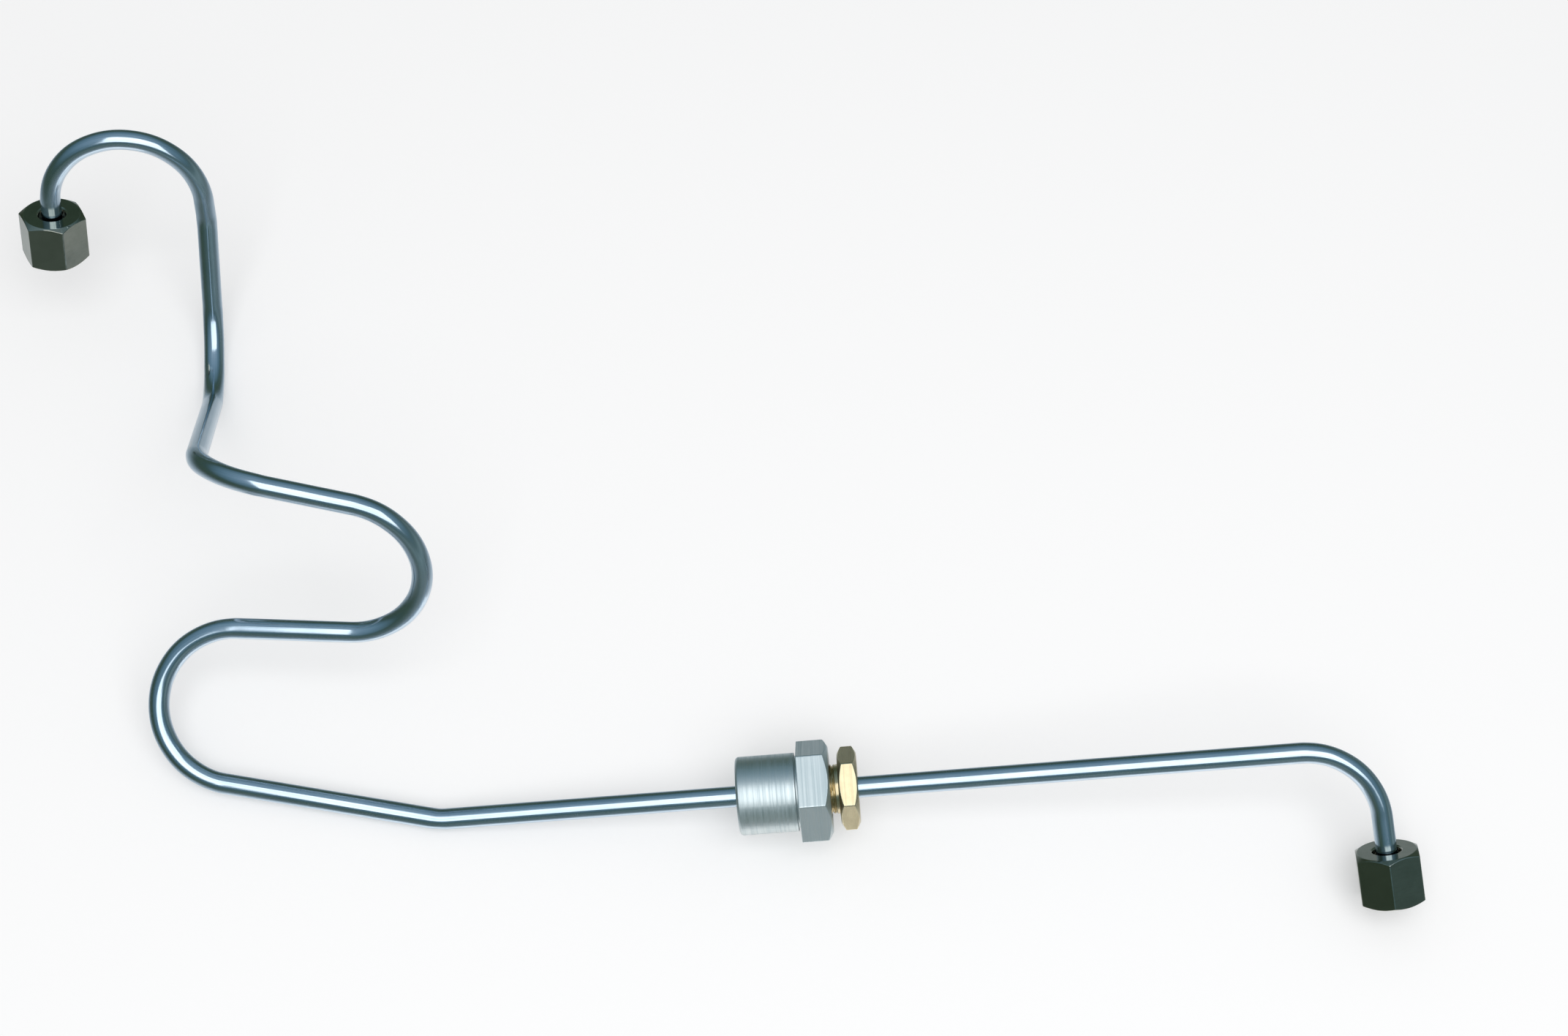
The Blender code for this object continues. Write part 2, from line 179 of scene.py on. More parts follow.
@dataclass(frozen=True)
class Corner:
    """One corner of a turned outline.

    Attributes:
        radius: distance from the axis, one for all columns or one for each.
        height: distance along the axis, one for all columns or one for each.
        ease: how far along its sides the corner's round reaches.
        on_plan: whether the corner lies on the plan's outside, where its corners have edges too.
    """

    radius: float | Array
    height: float | Array
    ease: float = 0.12 * MM
    on_plan: bool = False


@dataclass(frozen=True)
class Marks:
    """Fine rows put into a straight side of a turned outline, to carry a thread or tool marks.

    The radius changes by depth * shape, and shape fades out over one pitch at each end.

    Attributes:
        after: number of the corner that the side starts from.
        start: height of the first row.
        end: height of the last row.
        pitch: distance from one thread or mark to the next.
        depth: change of radius, positive outwards.
        helical: whether the marks climb by one pitch in each turn, as a thread does.
        uneven: how much the marks stray from an even pitch, as a share of it.
        rows_per_pitch: rows for each thread or mark.
    """

    after: int
    start: float
    end: float
    pitch: float
    depth: float
    helical: bool = True
    uneven: float = 0.0
    rows_per_pitch: int = 10

    def rows(self, ring: Ring, radius: float) -> tuple[Array, Array]:
        """Radius and height of the marked rows.

        The shape is a triangle wave of height / pitch, less the share of a turn on a thread. Its
        top and bottom are cut off, which leaves the flat crests and roots of a thread.

        Args:
            ring: plan that gives the columns.
            radius: radius of the plain side.

        Returns:
            Radii and heights, both of shape (row, column).
        """
        count = max(2, round(abs(self.end - self.start) / self.pitch * self.rows_per_pitch))
        height = np.linspace(self.start, self.end, count)[:, None]
        turn = np.arctan2(ring.direction[:, 1], ring.direction[:, 0])[None, :] / math.tau
        phase = height / self.pitch - (turn if self.helical else 0.0 * turn)
        phase = phase + self.uneven * sum(np.sin(rate * phase + start) for rate, start in STRAYS)
        wave = np.abs(2 * (phase % 1.0) - 1)
        shape = np.clip((wave - FLAT_SHARE) / (1 - 2 * FLAT_SHARE), 0.0, 1.0)
        low, high = sorted((self.start, self.end))
        fade = np.clip((height - low) / self.pitch, 0, 1)
        fade = fade * np.clip((high - height) / self.pitch, 0, 1)
        return radius + self.depth * shape * fade, np.broadcast_to(height, shape.shape)


@dataclass
class Surface:
    """Closed surface: a grid of points that closes on itself along its rows and its columns.

    Attributes:
        points: places, shape (row, column, 3).
        turn: values of the turn attribute, shape (row, column, 3).
        edge: values of the edge attribute, shape (row, column).
    """

    points: Array
    turn: Array
    edge: Array

    def moved(self, place: Matrix4) -> "Surface":
        """The same surface set in another frame by a 4x4 matrix."""
        points = self.points @ place[:3, :3].T + place[:3, 3]
        return Surface(points, self.turn, self.edge)

    def mesh(self, name: str) -> bpy.types.Mesh:
        """Turns the grid into a mesh of quads that face outwards.

        The grid's winding is right when the sum of p . (q x r) over its triangles, six times the
        enclosed volume, is positive. Otherwise each face is turned round.

        Args:
            name: name of the mesh.

        Returns:
            A smooth-shaded mesh with the turn and edge attributes.
        """
        rows, columns = self.edge.shape
        index = np.arange(rows * columns).reshape(rows, columns)
        right = np.roll(index, -1, axis=1)
        above = np.roll(index, -1, axis=0)
        faces = np.stack([index, right, np.roll(right, -1, axis=0), above], axis=2).reshape(-1, 4)
        points = self.points.reshape(-1, 3)
        a, b, c, d = (points[faces[:, i]] for i in range(4))
        volume = np.einsum("ij,ij->", a, np.cross(b, c) + np.cross(c, d))
        if volume < 0:
            faces = faces[:, ::-1]
        mesh = bpy.data.meshes.new(name)
        mesh.from_pydata(points.tolist(), [], faces.tolist())
        mesh.shade_smooth()
        mesh.set_sharp_from_angle(angle=math.radians(SHARP_ANGLE))
        turn = mesh.attributes.new(TURN_ATTRIBUTE, "FLOAT_VECTOR", "POINT")
        turn.data.foreach_set("vector", self.turn.astype(np.float32).ravel())
        edge = mesh.attributes.new(EDGE_ATTRIBUTE, "FLOAT", "POINT")
        edge.data.foreach_set("value", self.edge.astype(np.float32).ravel())
        return mesh


def turned(ring: Ring, outline: list[Corner], marks: tuple[Marks, ...] = ()) -> Surface:
    """Carries an outline round an axis: each point is (radius * direction, height).

    The distance along a piece, which its tool lines follow, takes each row's least radius. So the
    lines run straight across the flats of a hexagon.

    Args:
        ring: plan that gives the columns.
        outline: corners of the closed outline, in order.
        marks: threads and tool marks on its straight sides.

    Returns:
        The closed surface, with its axis on Z.
    """
    columns = len(ring.reach)
    corners = np.array([
        np.stack(np.broadcast_arrays(corner.radius, corner.height, ring.reach)[:2], axis=1)
        for corner in outline
    ])
    rows = rounded(corners, np.array([corner.ease for corner in outline]))
    edge = np.repeat(edge_rows(len(outline))[:, None], columns, axis=1)
    on_plan = np.repeat([corner.on_plan for corner in outline], ROWS_PER_CORNER)
    edge = np.maximum(edge, on_plan[:, None] * ring.edge[None, :])
    for mark in sorted(marks, key=lambda item: -item.after):
        cut = (mark.after + 1) * ROWS_PER_CORNER
        radius, height = mark.rows(ring, outline[mark.after].radius)
        rows = np.concatenate([rows[:cut], np.stack([radius, height], axis=2), rows[cut:]])
        edge = np.concatenate([edge[:cut], np.zeros_like(radius), edge[cut:]])
    middle = rows.copy()
    middle[:, :, 0] = rows[:, :, 0].min(axis=1, keepdims=True)
    step = np.linalg.norm(np.diff(middle, axis=0), axis=2)
    along = np.concatenate([np.zeros((1, columns)), np.cumsum(step, axis=0)])
    flat = rows[:, :, :1] * ring.direction[None]
    points = np.concatenate([flat, rows[:, :, 1:]], axis=2)
    around = np.broadcast_to(ring.direction[None], flat.shape)
    turn = np.concatenate([around, along[:, :, None] / MM], axis=2)
    return Surface(points, turn, edge)


# Places


def shift(distance: float | Array) -> Matrix4:
    """Frames moved along +Z.

    Args:
        distance: how far, one or an array.

    Returns:
        A 4x4 matrix for each distance.
    """
    distance = np.asarray(distance, float)
    place = np.broadcast_to(np.eye(4), distance.shape + (4, 4)).copy()
    place[..., 2, 3] = distance
    return place


def clock(degrees: float) -> Matrix4:
    """Turn about Z.

    Args:
        degrees: angle of the turn.

    Returns:
        The turn as a 4x4 matrix.
    """
    angle = math.radians(degrees)
    place = np.eye(4)
    place[:2, :2] = [[math.cos(angle), -math.sin(angle)], [math.sin(angle), math.cos(angle)]]
    return place


FLIPPED = np.diag([1.0, -1.0, -1.0, 1.0])    # half a turn about X


@dataclass(frozen=True)
class Bend:
    """One step of the pipe bender: a straight run, then a bend in a plane rolled from the last."""

    run: float
    turn: float
    roll: float


@dataclass
class Stations:
    """Frames along the pipe.

    Attributes:
        frames: 4x4 frames with +Z along the pipe, shape (station, 4, 4).
        distance: distance from the pump's end, shape (station,).
        bent: 0 on a straight run and 1 inside a bend, shape (station,).
        plane: angle of the bend's inner side round the frame, in radians, shape (station,).
    """

    frames: Array
    distance: Array
    bent: Array
    plane: Array


@dataclass(frozen=True)
class Route:
    """Centreline of the pipe from the pump's nose to the injector's."""

    bend_radius: float = 22.5 * MM
    bends: tuple[Bend, ...] = (
        Bend(15.5 * MM, 175.5, 0.0),         # hook over the pump end
        Bend(4.5 * MM, 14.0, -77.5),         # set in the hook's long leg
        Bend(25.0 * MM, 102.5, -14.0),       # foot of the hook
        Bend(64.0 * MM, 83.5, -102.0),       # corner into the upper arm
        Bend(23.5 * MM, 168.0, -67.5),       # right-hand loop
        Bend(31.5 * MM, 172.5, -149.5),      # left-hand loop
        Bend(59.0 * MM, 14.0, 0.0),          # set into the long run
        Bend(241.5 * MM, 85.0, -173.0),      # down to the injector
    )
    last_run: float = 21.5 * MM
    long_run: int = 7                        # the run that the gland sits on
    settling: float = 8.0                    # degrees over which a bend's flattening comes in

    def swing(self, degrees: Array) -> Array:
        """Frames round a bend that curls to -Y: a turn about X through (0, -bend_radius, 0).

        Args:
            degrees: how far round the bend, one angle or an array.

        Returns:
            A 4x4 matrix for each angle.
        """
        angle = np.radians(np.asarray(degrees, float))
        cos, sin = np.cos(angle), np.sin(angle)
        place = np.broadcast_to(np.eye(4), angle.shape + (4, 4)).copy()
        place[..., 1, 1], place[..., 1, 2] = cos, -sin
        place[..., 2, 1], place[..., 2, 2] = sin, cos
        place[..., 1, 3] = self.bend_radius * (cos - 1)
        place[..., 2, 3] = self.bend_radius * sin
        return place

    def starts(self) -> list[tuple[Matrix4, float, float]]:
        """Follows the schedule from the pump's nose.

        Returns:
            Frame, plane in degrees and distance at the start of each run, the last one too.
        """
        here, plane, travelled = np.eye(4), 0.0, 0.0
        found = []
        for bend in self.bends:
            plane += bend.roll
            found.append((here, plane, travelled))
            here = here @ shift(bend.run) @ clock(plane) @ self.swing(bend.turn) @ clock(-plane)
            travelled += bend.run + self.bend_radius * math.radians(bend.turn)
        return found + [(here, plane, travelled)]

    def stations(self, run_step: float, bend_step: float, head: float) -> Stations:
        """Frames at even steps along the pipe, between its two heads.

        Args:
            run_step: distance between frames on a straight run.
            bend_step: angle in degrees between frames in a bend.
            head: length of pipe left out at each end.

        Returns:
            The stations from the pump's end to the injector's.
        """
        frames, distance, bent, plane = [], [], [], []
        starts = self.starts()
        for i, (here, turned_to, travelled) in enumerate(starts):
            last = i == len(self.bends)
            run = self.last_run - head if last else self.bends[i].run
            begin = head if i == 0 else 0.0
            share = np.linspace(begin, run, max(2, round((run - begin) / run_step)) + 1)
            share = share if last else share[:-1]
            frames.append(here @ shift(share))
            distance.append(travelled + share)
            bent.append(np.zeros(len(share)))
            plane.append(np.full(len(share), turned_to))
            if last:
                break
            bend = self.bends[i]
            angle = np.linspace(0.0, bend.turn, max(2, round(bend.turn / bend_step)) + 1)[:-1]
            corner = here @ shift(bend.run) @ clock(turned_to)
            frames.append(corner @ self.swing(angle) @ clock(-turned_to))
            distance.append(travelled + run + self.bend_radius * np.radians(angle))
            ramp = np.clip(np.minimum(angle, bend.turn - angle) / self.settling, 0.0, 1.0)
            bent.append(ramp * ramp * (3 - 2 * ramp))
            plane.append(np.full(len(angle), turned_to))
        inner = np.radians(np.concatenate(plane) - 90.0)
        return Stations(np.concatenate(frames), np.concatenate(distance), np.concatenate(bent), inner)

    def injector_tip(self) -> Matrix4:
        """Frame at the tip of the injector's nose, with +Z out of the pipe."""
        return self.starts()[-1][0] @ shift(self.last_run)

    def settled(self, joints: list[dict]) -> Matrix4:
        """Move from the route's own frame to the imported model's.

        Both union nuts spin about a nose's tip. A basis is made of the pump's axis and the way
        from tip to tip, once in the route and once in the model, and one is turned on the other.

        Args:
            joints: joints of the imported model.

        Returns:
            The move as a 4x4 matrix.
        """
        spins = {joint["name"]: joint for joint in joints}
        pump, injector = spins["pump_nut_spin"], spins["injector_nut_spin"]
        tip = np.array(pump["pos_m"])
        model = self.basis(np.array(pump["axis"]), np.array(injector["pos_m"]) - tip)
        route = self.basis(np.array([0.0, 0.0, 1.0]), self.injector_tip()[:3, 3])
        place = np.eye(4)
        place[:3, :3] = model @ route.T
        place[:3, 3] = tip
        return place

    @staticmethod
    def basis(axis: Array, across: Array) -> Array:
        """Right-handed basis of unit vectors.

        Args:
            axis: direction of the first vector.
            across: direction that the second vector leans to.

        Returns:
            The basis as the columns of a 3x3 matrix.
        """
        first = axis / np.linalg.norm(axis)
        second = across - first * (across @ first)
        second = second / np.linalg.norm(second)
        return np.stack([first, second, np.cross(first, second)], axis=1)


# Shader groups and finishes


NUMBER, VECTOR, COLOR = "NodeSocketFloat", "NodeSocketVector", "NodeSocketColor"
WEAR_SCALE = 700.0           # patches of rubbed edge to the metre
SPECK_SCALE = 2600.0         # specks to the metre
SPECK_PATCH_SCALE = 260.0    # patches that hold specks, to the metre
SPECK_TINT = 0.5             # how far a speck goes to the tint
SPECK_DULLING = 0.15         # roughness that a full tint of a speck stands for
SPECK_DEPTH = 0.2            # depth that a full tint of a speck stands for, where 1 is line_depth

# Values of a noise between which each effect comes in

CLOUD_NOISE = (0.38, 0.68)
WEAR_NOISE = (0.35, 0.6)
SPECK_NOISE = (0.45, 0.65)
STREAK_NOISE = (0.48, 0.62)
GLOSS_NOISE = (0.3, 0.7)
LEAST_WEAR = 0.25            # of the wear, where its noise is low


class Graph:
    """Adds nodes to one node tree."""

    def __init__(self, tree: bpy.types.NodeTree) -> None:
        """Keeps the tree that the nodes go into."""
        self.tree = tree

    def add(self, kind: str, values: dict | None = None, **settings: object) -> bpy.types.Node:
        """Adds a node.

        Args:
            kind: type of the node.
            values: for each input by name or number, its value or the socket that feeds it.
            settings: properties of the node.

        Returns:
            The new node.
        """
        node = self.tree.nodes.new(kind)
        for name, value in settings.items():
            setattr(node, name, value)
        for name, value in (values or {}).items():
            if isinstance(value, bpy.types.NodeSocket):
                self.tree.links.new(value, node.inputs[name])
            else:
                node.inputs[name].default_value = value
        return node

    def noise(
        self, place: object, scale: object, detail: float, roughness: float = 0.5
    ) -> bpy.types.NodeSocket:
        """Smooth noise with its mean near 0.5.

        Args:
            place: socket of the place.
            scale: patches to the unit of the place, or its socket.
            detail: number of finer layers.
            roughness: weight of the finer layers.

        Returns:
            The noise's socket.
        """
        values = {"Vector": place, "Scale": scale, "Detail": detail, "Roughness": roughness}
        return self.add("ShaderNodeTexNoise", values).outputs["Fac"]

    def group(self, tree: bpy.types.NodeTree, values: dict) -> bpy.types.NodeSocket:
        """Result of a shared group that is placed with its own values."""
        return self.add("ShaderNodeGroup", values, node_tree=tree).outputs[0]

    def math(self, operation: str, *values: object) -> bpy.types.NodeSocket:
        """Result of a Math node on one or two values or sockets."""
        return self.add("ShaderNodeMath", dict(enumerate(values)), operation=operation).outputs[0]

    def blend(
        self, factor: object, first: object, second: object, kind: str = "MIX"
    ) -> bpy.types.NodeSocket:
        """Mixes two colours.

        Args:
            factor: share of the second colour, or its socket.
            first: first colour or its socket.
            second: second colour or its socket.
            kind: way that they mix.

        Returns:
            The mixed colour's socket.
        """
        values = {0: factor, 6: first, 7: second}
        node = self.add("ShaderNodeMix", values, data_type="RGBA", blend_type=kind)
        return node.outputs[2]

    def stretch(
        self, value: object, low: float, high: float, start: float = 0.0, end: float = 1.0,
        smooth: bool = False,
    ) -> bpy.types.NodeSocket:
        """Carries a value from one range into another, and holds it there.

        Args:
            value: the value's socket.
            low: lower limit of the value.
            high: upper limit of the value.
            start: result at the lower limit.
            end: result at the upper limit.
            smooth: whether the change starts and ends gently.

        Returns:
            The result's socket.
        """
        limits = {"From Min": low, "From Max": high, "To Min": start, "To Max": end}
        kind = "SMOOTHSTEP" if smooth else "LINEAR"
        node = self.add("ShaderNodeMapRange", {"Value": value, **limits}, interpolation_type=kind)
        return node.outputs[0]


class SharedEffects:
    """Shader groups that several finishes place, each with its own values."""

    def __init__(self) -> None:
        """Builds the groups once."""
        self.lay = self.machining_lay()
        self.clouds = self.plating_clouds()
        self.wear = self.edge_wear()
        self.pits = self.fine_pits()

    @staticmethod
    def new_group(name: str, inputs: dict[str, str], output: str, kind: str) -> tuple[Graph, dict]:
        """Makes an empty shader group.

        Args:
            name: name of the group.
            inputs: socket type of each input by name.
            output: name of the output.
            kind: socket type of the output.

        Returns:
            The graph to build in, and the sockets of the inputs by name.
        """
        tree = bpy.data.node_groups.new(name, "ShaderNodeTree")
        for label, socket_type in inputs.items():
            tree.interface.new_socket(label, in_out="INPUT", socket_type=socket_type)
        tree.interface.new_socket(output, in_out="OUTPUT", socket_type=kind)
        graph = Graph(tree)
        entry = graph.add("NodeGroupInput")
        return graph, {label: entry.outputs[label] for label in inputs}

    @staticmethod
    def closed(graph: Graph, result: bpy.types.NodeSocket) -> bpy.types.NodeTree:
        """Leads the result to the group's output, and gives the finished group."""
        graph.add("NodeGroupOutput", {0: result})
        return graph.tree

    def machining_lay(self) -> bpy.types.NodeTree:
        """Lines that a die or a lathe tool leaves, from noise that is stretched one way.

        Returns:
            The group.
        """
        inputs = {"Turn": VECTOR, "Around": NUMBER, "Along": NUMBER}
        graph, given = self.new_group("machining_lay", inputs, "Lines", NUMBER)
        around, along = given["Around"], given["Along"]
        scale = graph.add("ShaderNodeCombineXYZ", {0: around, 1: around, 2: along}).outputs[0]
        place = graph.add("ShaderNodeVectorMath", {0: given["Turn"], 1: scale}, operation="MULTIPLY")
        return self.closed(graph, graph.noise(place.outputs[0], 1.0, 4.0))

    def plating_clouds(self) -> bpy.types.NodeTree:
        """Soft patches where plating is a little darker or of another tint.

        Returns:
            The group.
        """
        inputs = {"Place": VECTOR, "Scale": NUMBER, "Color": COLOR, "Tint": COLOR, "Amount": NUMBER}
        graph, given = self.new_group("plating_clouds", inputs, "Color", COLOR)
        mask = graph.stretch(graph.noise(given["Place"], given["Scale"], 5.0, 0.6), *CLOUD_NOISE)
        share = graph.math("MULTIPLY", mask, given["Amount"])
        return self.closed(graph, graph.blend(share, given["Color"], given["Tint"]))

    def edge_wear(self) -> bpy.types.NodeTree:
        """Edges rubbed bright, broken up by noise so that the wear is patchy.

        Returns:
            The group.
        """
        inputs = {"Place": VECTOR, "Edge": NUMBER, "Amount": NUMBER, "Color": COLOR, "Worn": COLOR}
        graph, given = self.new_group("edge_wear", inputs, "Color", COLOR)
        noise = graph.noise(given["Place"], WEAR_SCALE, 3.0)
        patchy = graph.stretch(noise, *WEAR_NOISE, LEAST_WEAR)
        mask = graph.math("MULTIPLY", graph.math("MULTIPLY", given["Edge"], patchy), given["Amount"])
        return self.closed(graph, graph.blend(mask, given["Color"], given["Worn"]))

    def fine_pits(self) -> bpy.types.NodeTree:
        """Tiny scattered pits and specks, 1 in a speck and 0 between them.

        Returns:
            The group.
        """
        inputs = {"Place": VECTOR, "Scale": NUMBER, "Size": NUMBER}
        graph, given = self.new_group("fine_pits", inputs, "Specks", NUMBER)
        place = given["Place"]
        cells = graph.add("ShaderNodeTexVoronoi", {"Vector": place, "Scale": given["Scale"]})
        patches = graph.stretch(graph.noise(place, SPECK_PATCH_SCALE, 2.0), *SPECK_NOISE)
        near = graph.math("LESS_THAN", cells.outputs["Distance"], given["Size"])
        return self.closed(graph, graph.math("MULTIPLY", near, patches))


class Lay(Enum):
    """Way that the lines of a surface run, as noise scales round the piece and along it."""

    DRAWN = (16.0, 0.012)        # long lines along a drawn tube
    TURNED = (0.25, 2.2)         # rings left by a lathe tool
    MILLED = (3.0, 1.6)          # short uneven marks on milled flats
    CAST = (4.0, 0.8)            # moulded rubber


@dataclass(frozen=True)
class Finish:
    """Surface of one kind of piece.

    Attributes:
        name: name of the material.
        slot: material slot of the record that it stands for; not used.
        color: colour of the clean surface.
        tint: colour of its clouded patches.
        worn: colour of its rubbed edges.
        roughness: roughness of the clean surface.
        metallic: 1 for metal and 0 for rubber.
        lay: way that its lines run.
        line_depth: height of the lines, in metres.
        line_gloss: how much the lines change the roughness.
        streaks: how far the lines go to the tint.
        clouding: how far the patches go to the tint.
        cloud_scale: patches to the metre.
        wear: how bright the edges are rubbed.
        pitting: size of the specks, 0 for none.
    """

    name: str
    slot: str
    color: Color
    tint: Color
    worn: Color
    roughness: float
    metallic: float = 1.0
    lay: Lay = Lay.TURNED
    line_depth: float = 0.004 * MM
    line_gloss: float = 0.08
    streaks: float = 0.2
    clouding: float = 0.6
    cloud_scale: float = 90.0
    wear: float = 0.7
    pitting: float = 0.0

    def material(self, effects: SharedEffects) -> bpy.types.Material:
        """Builds the material from the shared effects.

        Args:
            effects: groups that the material places.

        Returns:
            The finished material.
        """
        material = bpy.data.materials.new(self.name)
        material.use_nodes = True
        graph = Graph(material.node_tree)
        shader = material.node_tree.nodes["Principled BSDF"]
        place = graph.add("ShaderNodeTexCoord").outputs["Object"]
        turn = graph.add("ShaderNodeAttribute", attribute_name=TURN_ATTRIBUTE).outputs["Vector"]
        edge = graph.add("ShaderNodeAttribute", attribute_name=EDGE_ATTRIBUTE).outputs["Fac"]
        around, along = self.lay.value
        tint = (*self.tint, 1.0)

        lines = graph.group(effects.lay, {"Turn": turn, "Around": around, "Along": along})
        clouded = graph.group(effects.clouds, {
            "Place": place, "Scale": self.cloud_scale, "Amount": self.clouding,
            "Color": (*self.color, 1.0), "Tint": tint,
        })
        pits = graph.group(effects.pits, {"Place": place, "Scale": SPECK_SCALE, "Size": self.pitting})
        rubbed = graph.group(effects.wear, {
            "Place": place, "Edge": edge, "Amount": self.wear,
            "Color": clouded, "Worn": (*self.worn, 1.0),
        })

        specks = graph.math("MULTIPLY", pits, SPECK_TINT)
        streaks = graph.stretch(lines, *STREAK_NOISE, 0.0, self.streaks)
        color = graph.blend(graph.math("MAXIMUM", specks, streaks), rubbed, tint)
        low, high = self.roughness - self.line_gloss, self.roughness + self.line_gloss
        roughness = graph.stretch(lines, *GLOSS_NOISE, low, high)
        roughness = graph.math("ADD", roughness, graph.math("MULTIPLY", specks, SPECK_DULLING))
        height = graph.math("SUBTRACT", lines, graph.math("MULTIPLY", specks, SPECK_DEPTH))
        relief = {"Height": height, "Distance": self.line_depth, "Strength": 1.0}
        normal = graph.add("ShaderNodeBump", relief).outputs["Normal"]
        shader.inputs["Metallic"].default_value = self.metallic
        for label, socket in {"Base Color": color, "Roughness": roughness, "Normal": normal}.items():
            graph.tree.links.new(socket, shader.inputs[label])
        return material


BRIGHT_ZINC = Finish(
    name="bright_zinc_tube",
    slot="pipe_plating",
    color=(0.59, 0.68, 0.76),
    tint=(0.42, 0.53, 0.62),
    worn=(0.72, 0.78, 0.82),
    roughness=0.15,
    lay=Lay.DRAWN,
    line_depth=0.008 * MM,
    line_gloss=0.06,
    streaks=0.8,
    clouding=0.5,
    cloud_scale=70.0,
)
DARK_PLATE = Finish(
    name="mirror_dark_plate",
    slot="union_nut_plating",
    color=(0.39, 0.385, 0.32),
    tint=(0.27, 0.275, 0.22),
    worn=(0.62, 0.61, 0.55),
    roughness=0.045,
    lay=Lay.MILLED,
    line_depth=0.001 * MM,
    line_gloss=0.02,
    clouding=0.5,
    cloud_scale=160.0,
    wear=0.6,
    pitting=0.09,
)
PLAIN_STEEL = Finish(
    name="plain_turned_steel",
    slot="plain_steel",
    color=(0.50, 0.50, 0.49),
    tint=(0.34, 0.33, 0.31),
    worn=(0.66, 0.66, 0.65),
    roughness=0.32,
    line_depth=0.006 * MM,
)
SATIN_STEEL = Finish(
    name="satin_gland_steel",
    slot="gland_steel",
    color=(0.71, 0.75, 0.74),
    tint=(0.56, 0.63, 0.64),
    worn=(0.80, 0.84, 0.85),
    roughness=0.42,
    line_depth=0.002 * MM,
    line_gloss=0.10,
    streaks=0.5,
    clouding=0.4,
    cloud_scale=120.0,
)
BRIGHT_BRASS = Finish(
    name="bright_gland_brass",
    slot="gland_brass",
    color=(0.72, 0.60, 0.38),
    tint=(0.46, 0.37, 0.23),
    worn=(0.93, 0.84, 0.62),
    roughness=0.22,
    line_depth=0.006 * MM,
    line_gloss=0.08,
    clouding=0.5,
    cloud_scale=150.0,
)
BLACK_RUBBER = Finish(
    name="black_packing_rubber",
    slot="packing_rubber",
    color=(0.022, 0.022, 0.022),
    tint=(0.045, 0.044, 0.042),
    worn=(0.07, 0.07, 0.07),
    roughness=0.68,
    metallic=0.0,
    lay=Lay.CAST,
    line_depth=0.010 * MM,
)


def placed(name: str, data: bpy.types.ID) -> bpy.types.Object:
    """Adds an object to the scene.

    Args:
        name: name of the object.
        data: its mesh, lamp or camera.

    Returns:
        The new object.
    """
    item = bpy.data.objects.new(name, data)
    bpy.context.scene.collection.objects.link(item)
    return item


class Workshop:
    """Makes pieces of surfaces and finishes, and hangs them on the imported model."""

    def __init__(self) -> None:
        """Builds the shader groups, with no materials yet."""
        self.effects = SharedEffects()
        self.materials: dict[str, bpy.types.Material] = {}

    def piece(self, name: str, surface: Surface, finish: Finish, body: str, node: str) -> None:
        """Adds one piece in the place of a node.

        Args:
            name: name of the piece.
            surface: its surface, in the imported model's frame.
            finish: its finish.
            body: body that it rides on.
            node: node that it stands for.
        """
        if finish.name not in self.materials:
            self.materials[finish.name] = finish.material(self.effects)
        mesh = surface.mesh(name)
        mesh.materials.append(self.materials[finish.name])
        item = placed(name, mesh)
        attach(item, body)
        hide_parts(node)
        low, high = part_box(node)
        points = surface.points.reshape(-1, 3)
        off = max(np.abs(points.min(0) - low).max(), np.abs(points.max(0) - high).max())
        faces = len(mesh.polygons)
        log.info("%s: %d faces on %s, %.2f mm off the node's box", name, faces, body, off / MM)


# Pieces


